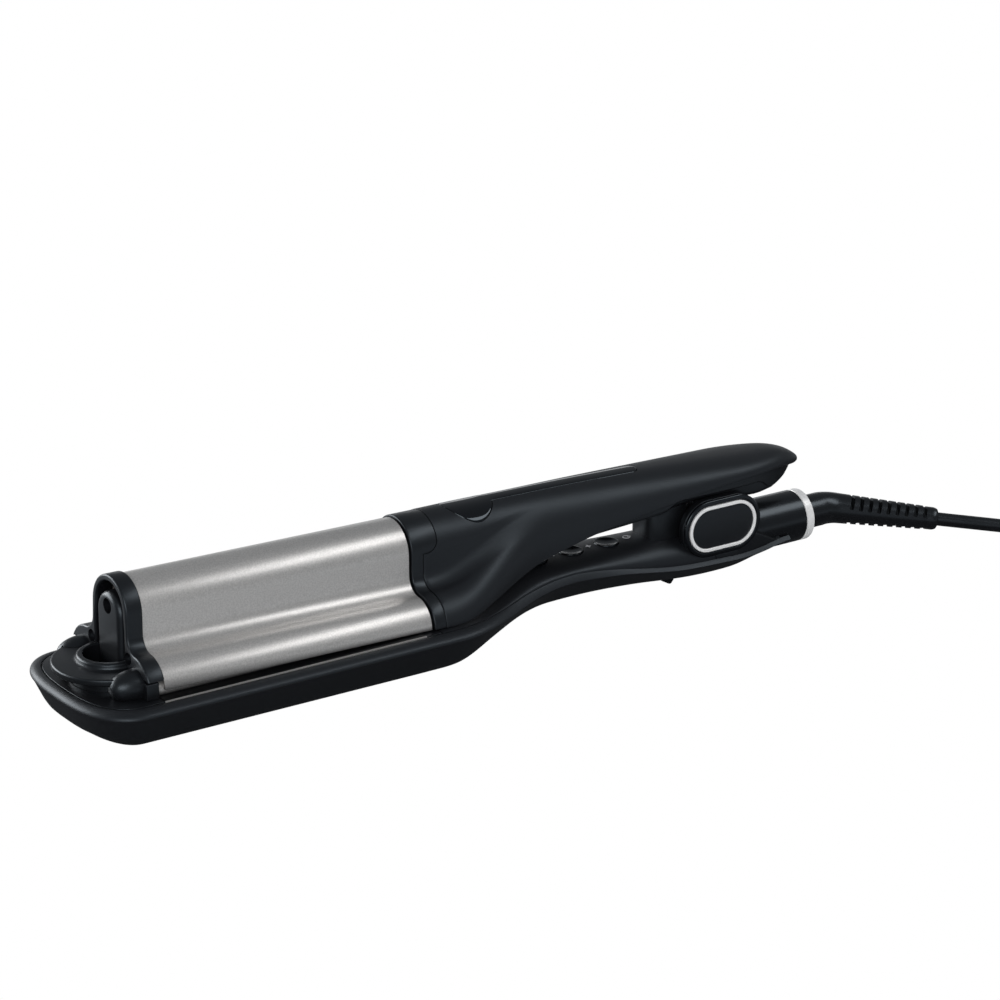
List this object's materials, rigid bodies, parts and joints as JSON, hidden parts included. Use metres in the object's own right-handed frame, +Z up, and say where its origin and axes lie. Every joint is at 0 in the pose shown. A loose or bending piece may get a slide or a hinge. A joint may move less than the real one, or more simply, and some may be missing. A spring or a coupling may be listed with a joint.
{
  "type": "hair waver",
  "caption": "Adjustable hair waver with an arched silver upper jaw, a centre barrel set by a dial, a sprung arm, push buttons and a mains lead on a swivel.",
  "frame": {"origin": "centre of the bounding box in plan without the lead, at the height of the tray's flat bottom", "axes": "+X from the dial end to the lead end, +Y to the side away from the hinge's shown cheek, +Z up"},
  "size_m": [0.5725, 0.1173, 0.0622],
  "materials": {
    "shell": "satin soft-touch black",
    "cover": "satin black",
    "semi_gloss": "semi-gloss black",
    "gloss_black": "polished black",
    "plate": "silver ceramic coating",
    "trim": "satin silver",
    "steel": "plain steel",
    "lead": "black rubber",
    "board": "circuit board green",
    "ceramic": "ceramic heater and terminal",
    "mark": "light grey print"
  },
  "bodies": {
    "base": {"lower_shell": "shell", "deck": "cover", "dial_bearing": "cover", "side_barrel_left": "plate", "side_barrel_right": "plate", "nose_cap_left": "cover", "nose_cap_right": "cover", "handle_cover": "cover", "hinge_housing": "cover", "pivot_cap_left": "semi_gloss", "pivot_cap_right": "semi_gloss", "trim_ring_left": "trim", "trim_ring_right": "trim", "trim_plate_left": "cover", "trim_plate_right": "cover", "hinge_pin": "steel", "torsion_spring": "steel", "rear_barrel": "semi_gloss", "end_ring": "trim", "circuit_board": "board", "terminal_block": "ceramic", "lower_heaters": "ceramic", "case_screws": "steel", "button_symbols": "mark"},
    "dial": {"dial_ring": "cover", "cam_sleeve": "cover"},
    "lift": {"centre_barrel": "plate", "centre_cap": "cover", "centre_heater": "ceramic", "lift_pin": "steel", "cap_screw": "steel"},
    "jaw": {"upper_plate": "plate", "front_frame": "cover", "frame_screws": "steel", "rear_collar": "cover", "upper_heater": "ceramic", "arm_shell": "shell", "arm_cover": "cover", "gloss_inlay": "gloss_black", "hinge_bracket": "steel"},
    "power": {"power_button": "semi_gloss"},
    "plus": {"plus_button": "semi_gloss"},
    "minus": {"minus_button": "semi_gloss"},
    "lock": {"lock_slider": "semi_gloss"},
    "lead": {"swivel_ball": "semi_gloss", "strain_relief": "lead", "cord": "lead", "cord_coil": "lead", "coil_tie": "lead", "plug": "lead", "plug_pins": "steel"}
  },
  "joints": [
    {"name": "jaw_hinge", "type": "hinge", "parent": "base", "child": "jaw", "pos_m": [0.13242, 0, 0.0271], "axis": [0, 1, 0], "range_deg": [0, 15], "stiffness_Nm_per_rad": 0.6, "springref_deg": -17.19},
    {"name": "dial_turn", "type": "hinge", "parent": "base", "child": "dial", "pos_m": [-0.16118, 0, 0], "axis": [0, 0, 1], "range_deg": [0, 180]},
    {"name": "barrel_lift", "type": "slide", "parent": "base", "child": "lift", "axis": [0, 0, -1], "range_m": [0, 0.009]},
    {"name": "power_press", "type": "slide", "parent": "base", "child": "power", "axis": [0, 0, -1], "range_m": [0, 0.001], "stiffness_N_per_m": 400},
    {"name": "plus_press", "type": "slide", "parent": "base", "child": "plus", "axis": [0, 0, -1], "range_m": [0, 0.001], "stiffness_N_per_m": 400},
    {"name": "minus_press", "type": "slide", "parent": "base", "child": "minus", "axis": [0, 0, -1], "range_m": [0, 0.001], "stiffness_N_per_m": 400},
    {"name": "lock_slide", "type": "slide", "parent": "base", "child": "lock", "axis": [1, 0, 0], "range_m": [0, 0.006]},
    {"name": "cord_swivel", "type": "hinge", "parent": "base", "child": "lead", "pos_m": [0.18, 0, 0.0164], "axis": [1, 0, 0], "continuous": true}
  ],
  "couplings": [
    {"joint": "dial_turn", "follows": "barrel_lift", "rad_per_m": 349.06}
  ]
}
